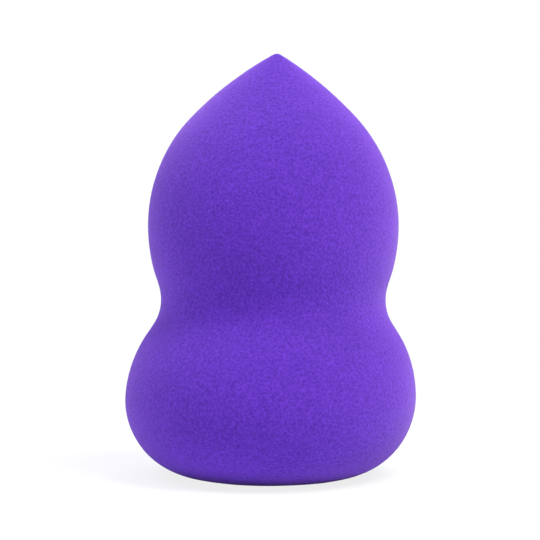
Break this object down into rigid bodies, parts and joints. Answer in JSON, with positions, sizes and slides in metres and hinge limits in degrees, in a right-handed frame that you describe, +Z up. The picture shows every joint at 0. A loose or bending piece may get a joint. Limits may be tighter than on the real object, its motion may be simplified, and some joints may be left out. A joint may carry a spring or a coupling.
{
  "type": "makeup sponge",
  "caption": "Soft gourd-shaped foam sponge with a pointed crown, a drawn-in waist and a wide, flat-bottomed lower bulb, for dabbing and blending makeup.",
  "frame": {"origin": "centre of the flat base that the sponge stands on", "axes": "+Z up along the axis of the round form, from the base to the tip; the form is round, so X and Y have no features of their own"},
  "size_m": [0.0412, 0.0412, 0.06],
  "materials": {
    "foam": "matte violet open-cell foam rubber with fine pores, dyed through"
  },
  "bodies": {
    "root": {"sponge_body": "foam"}
  },
  "joints": []
}
